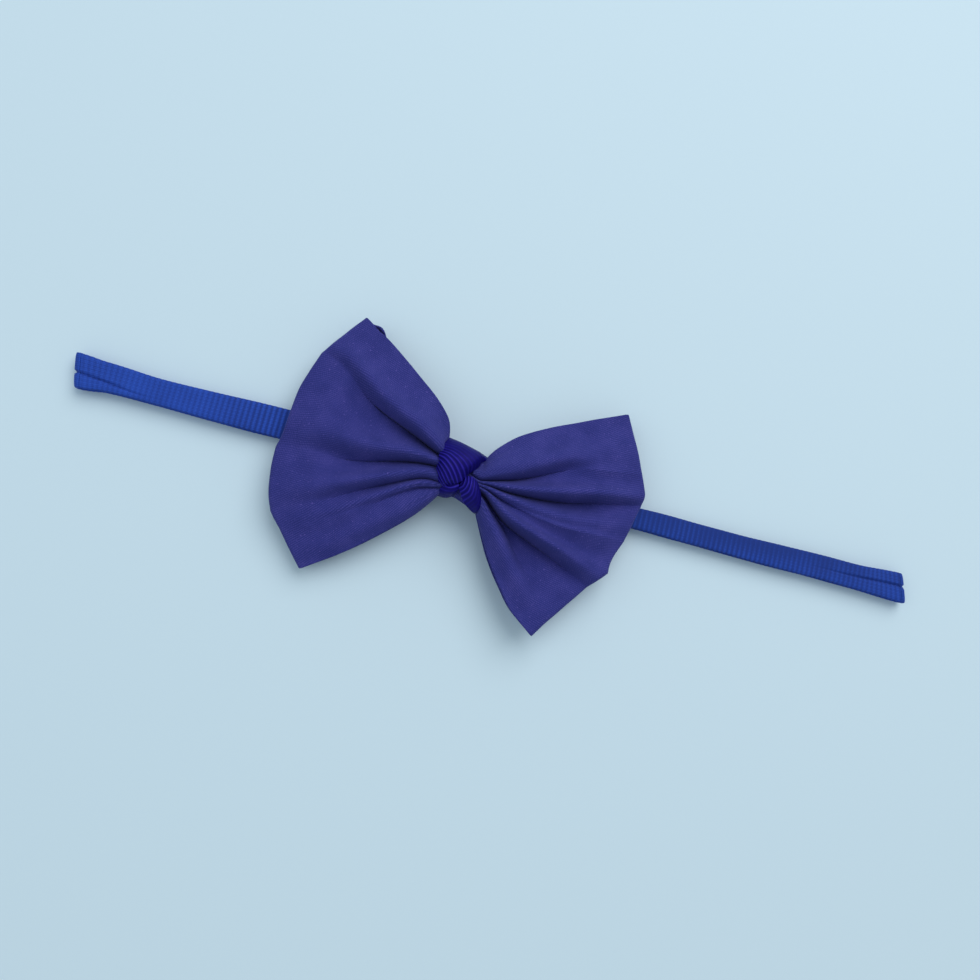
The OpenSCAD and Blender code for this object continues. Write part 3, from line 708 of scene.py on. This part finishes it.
end_strand = loft("ribbon_end", [
    [(-1.5, -3.5, 12.0), (-1.9, -4.6, 12.0), (-2.7, -5.2, 11.6), (-3.8, -4.9, 11.0)],
    [(-0.7, -5.0, 11.9), (-1.6, -5.7, 12.2), (-2.8, -6.1, 11.8), (-4.4, -5.8, 10.8)],
    [(-0.7, -5.8, 11.4), (-1.6, -6.6, 11.6), (-2.9, -7.0, 11.2), (-4.8, -6.8, 10.2)],
    [(-0.9, -6.4, 10.6), (-1.7, -7.1, 10.6), (-3.0, -7.5, 10.2), (-4.9, -7.4, 9.4)],
    [(-1.2, -6.9, 9.2), (-2.0, -7.5, 9.0), (-3.1, -7.9, 8.8), (-4.9, -7.8, 8.2)],
    [(-1.5, -7.1, 7.4), (-2.2, -7.6, 7.2), (-3.2, -7.9, 7.0), (-4.8, -7.8, 6.6)],
    [(-1.6, -6.9, 5.6), (-2.3, -7.3, 5.4), (-3.2, -7.5, 5.2), (-4.5, -7.4, 5.0)]], ribbed=1, thick=0.28)
for o in (over_strand, turn_strand, end_strand, over_layers, turn_layers):
    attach(o, "bow")
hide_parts("ribbon_upper_tail", "knot_crossing_strand", "knot_top_fold")
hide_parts("ribbon_lower_tail", "knot_lower_fold")
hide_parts("knot_core")

# ------------------------------------------------------------------ headband
LEFT_X, RIGHT_X = -95.8, 119.6
BT = 1.4
W_AT = [-99, -94, -90, -77, -61, -45, 0, 45, 67, 91, 107, 117, 123]
W_HALF = [4.35, 4.0, 3.55, 3.2, 3.45, 3.7, 3.3, 2.7, 2.8, 3.05, 3.2, 3.6, 3.85]
C_AT = [-99, -90, -77, -61, -45, -20, 0, 30, 46, 67, 91, 107, 123]
C_Y = [0.25, 0.3, -0.05, 0.1, 0.35, 0.15, 0, -0.1, -0.25, -0.45, -0.45, -0.4, -0.2]


def band_section(nv):
    """Unit outline of the band: a flat strip with soft rolled edges."""
    a = np.linspace(0, 2 * math.pi, nv, endpoint=False)
    e = 3.2
    r = 1 / (np.abs(np.cos(a)) ** e + np.abs(np.sin(a)) ** e) ** (1 / e)
    return r * np.cos(a), r * np.sin(a), a


def groove_at(x):
    """Depth and place across the band of the lengthwise crease near each turn."""
    left = smooth((-x - 74) / 18)
    right = smooth((x - 92) / 22)
    place = np.where(x < 0, -0.12 - 0.56 * smooth((x + 99) / 20), -0.12 + 0.2 * smooth((x - 95) / 24))
    return np.where(x < 0, left, right), place


def band_piece(name, C, N, length0, material, face_up, n_sec=84):
    """C: centre line (n, 3); N: outward normals. The width lies along Y."""
    cy, cz, ang = band_section(n_sec)
    n = len(C)
    xx = C[:, 0].copy()
    hw = table(xx, W_AT, W_HALF)
    depth, place = groove_at(xx)
    d = np.r_[0, np.cumsum(np.linalg.norm(np.diff(C, axis=0), axis=1))] + length0
    pitch = 1.3
    rib = (0.5 + 0.5 * np.cos(2 * math.pi * d / pitch)) ** 0.7
    strength = 0.012 + 0.15 * np.exp(-((xx + 36) / 22) ** 2) + 0.085 * np.exp(-((xx - 62) / 40) ** 2)
    slant = np.where(xx < 0, smooth((-xx - 84) / 13) * 0.236, smooth((xx - 106) / 14) * 0.29)
    G = np.zeros((n, n_sec, 3))
    U = np.zeros((n, n_sec, 2))
    painted_shade = np.zeros((n, n_sec))
    # painted shade: darkens the band from x = 20 mm rightwards, a little less past x = 96 mm, and more towards its +Y
    # edge
    painted_band_shade = 0.50 * smooth((xx - 20) / 30) - 0.26 * smooth((xx - 96) / 20)
    h = BT / 2
    for k in range(n_sec):
        y, z = cy[k], cz[k]
        up_ = np.sign(z)
        face = min(1.0, abs(z) * 1.15)
        zz = h * z * (0.86 + 0.14 * abs(y) ** 3) - up_ * strength * face * (1 - rib)
        dip = np.exp(-((y - place) / 0.07) ** 2) * depth
        zz = zz - up_ * 0.66 * dip * face
        yy = y * hw * (1 + 0.006 * np.cos(2 * math.pi * d / pitch)) + 0.1 * waves(d, d * 0 + y * 2, 5, 17.0)
        G[:, k] = C + N * zz[:, None]
        G[:, k, 1] += yy
        G[:, k, 0] -= slant * yy
        U[:, k, 0] = d
        U[:, k, 1] = y * 3.6 + (9 if z < 0 else 0)
        # painted shade per vertex: darker in the rib grooves, over the right-hand part of the band, and in the
        # lengthwise crease
        painted_shade[:, k] = (1 - rib) * np.minimum(0.8, strength * 5.5) + painted_band_shade * (0.85 + 0.5 * y) + 0.5 * dip
    o = tube_mesh(name, G, U, material)
    o.data.attributes.new("ribs", "FLOAT", "POINT").data.foreach_set("value", painted_shade.reshape(-1).astype(np.float32))
    return o


def band_line(x):
    """The soft band doesn't lie dead straight."""
    return table(x, C_AT, C_Y) + 0.06 * np.sin(x / 7.0)


step = 0.13
zc_b, zc_f = BT / 2, 2.6 + BT / 2
R = (zc_f - zc_b) / 2
xs = np.arange(LEFT_X, RIGHT_X, step)
arc = np.linspace(0, math.pi, 30)[1:-1]
pts, nrm = [], []
for a in arc[::-1]:   # left turn, from the front round to the back
    pts.append((LEFT_X - R * math.sin(a), 0, (zc_b + zc_f) / 2 - R * math.cos(a)))
    nrm.append((-math.sin(a), 0, -math.cos(a)))
for x in xs:
    pts.append((x, 0, zc_b))
    nrm.append((0, 0, -1))
for a in arc:
    pts.append((RIGHT_X + R * math.sin(a), 0, (zc_b + zc_f) / 2 - R * math.cos(a)))
    nrm.append((math.sin(a), 0, -math.cos(a)))
pts, nrm = np.array(pts), np.array(nrm)
pts[:, 1] = band_line(pts[:, 0])
bb = band_piece("headband_back", pts, nrm, 0.0, KNIT, -1, n_sec=52)
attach(bb, "back_strand")
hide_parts("band_back_strand", "band_left_turn", "band_right_turn")

MID = -1.0
for nm, a, b, node_, end_x in (("headband_front_left", LEFT_X, MID, "band_front_left", -31.0), ("headband_front_right", MID, RIGHT_X, "band_front_right", 43.0)):
    x = np.arange(a, b + step / 2, step)
    C = np.stack([x, band_line(x), np.full(len(x), zc_f)], 1)
    Nn = np.tile([0, 0, 1.0], (len(x), 1))
    o = band_piece(nm, C, Nn, a - LEFT_X, KNIT, 1)
    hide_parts(node_, "band_front_strand")
    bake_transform(o)

# stitches that close the elastic: a zigzag of twisted thread lying on the back strand, its ends pulled in
def join_stitches():
    verts, faces = [], []
    m, k = 31, 12
    a = np.linspace(0, 2 * math.pi, k, endpoint=False)
    for i in range(6):
        x0 = 72 + 1.6 * i
        lean = math.radians(14 if i % 2 == 0 else -14)
        s = np.linspace(-1, 1, m)
        yc = float(band_line(np.array([x0]))[0])
        C = np.stack([x0 + 2.3 * s * math.sin(lean), yc + 2.15 * s * math.cos(lean), 1.39 - 0.07 * s**2 - 0.6 * np.abs(s) ** 14], 1)
        T = np.gradient(C, axis=0)
        T /= np.linalg.norm(T, axis=1, keepdims=True)
        side = np.cross(T, [0, 0, 1.0])
        side /= np.linalg.norm(side, axis=1, keepdims=True)
        up = np.cross(side, T)
        r = 0.16 * (1 + 0.16 * np.cos(2 * a[None] + 14 * s[:, None]))
        G = C[:, None] + (r * np.cos(a)[None])[..., None] * side[:, None] + (r * np.sin(a)[None])[..., None] * up[:, None]
        at = len(verts)
        verts.extend(G.reshape(-1, 3).tolist())
        for p in range(m - 1):
            for q in range(k):
                w = (q + 1) % k
                faces.append([at + p * k + q, at + p * k + w, at + (p + 1) * k + w, at + (p + 1) * k + q])
        faces.append([at + q for q in range(k - 1, -1, -1)])
        faces.append([at + (m - 1) * k + q for q in range(k)])
    return make_mesh("join_stitches", np.array(verts), faces, np.zeros((len(verts), 2)), BAND_THREAD)


js = join_stitches()
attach(js, "back_strand")
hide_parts("band_join_stitches")

# gathering thread under the ribbon, and small tacks in its tails
for nm, mt in (("gathering_thread", THREAD), ("ribbon_tack_stitches", THREAD)):
    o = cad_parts[nm]
    o.data.materials.clear()
    o.data.materials.append(mt)

# ------------------------------------------------------------------ floor and light
def stage():
    me = bpy.data.meshes.new("floor")
    s = 3.0
    me.from_pydata([(-s, -s, 0), (s, -s, 0), (s, s, 0), (-s, s, 0)], [], [(0, 1, 2, 3)])
    o = bpy.data.objects.new("floor", me)
    bpy.context.scene.collection.objects.link(o)
    mt, nt, b = new_material("floor")
    b.inputs["Base Color"].default_value = (0.70, 0.83, 0.91, 1)
    b.inputs["Roughness"].default_value = 0.7
    b.inputs["Specular IOR Level"].default_value = 0.2
    me.materials.append(mt)


stage()


def area(name, loc, target, size, energy, colour):
    l = bpy.data.lights.new(name, "AREA")
    l.shape = "DISK"
    l.size = size
    l.energy = energy
    l.color = colour
    o = bpy.data.objects.new(name, l)
    bpy.context.scene.collection.objects.link(o)
    o.location = loc
    o.rotation_euler = (Vector(target) - Vector(loc)).to_track_quat("-Z", "Y").to_euler()
    return o


area("key", (0.26, 0.66, 0.88), (0, 0, 0), 1.1, 7.5, (0.96, 0.985, 1.0))
area("fill", (-0.7, -0.1, 0.9), (0, 0, 0), 1.2, 1.9, (0.80, 0.93, 1.0))
world = bpy.data.worlds.new("world")
bpy.context.scene.world = world
world.use_nodes = True
world.node_tree.nodes["Background"].inputs[0].default_value = (0.78, 0.93, 1.0, 1)
world.node_tree.nodes["Background"].inputs[1].default_value = 0.42
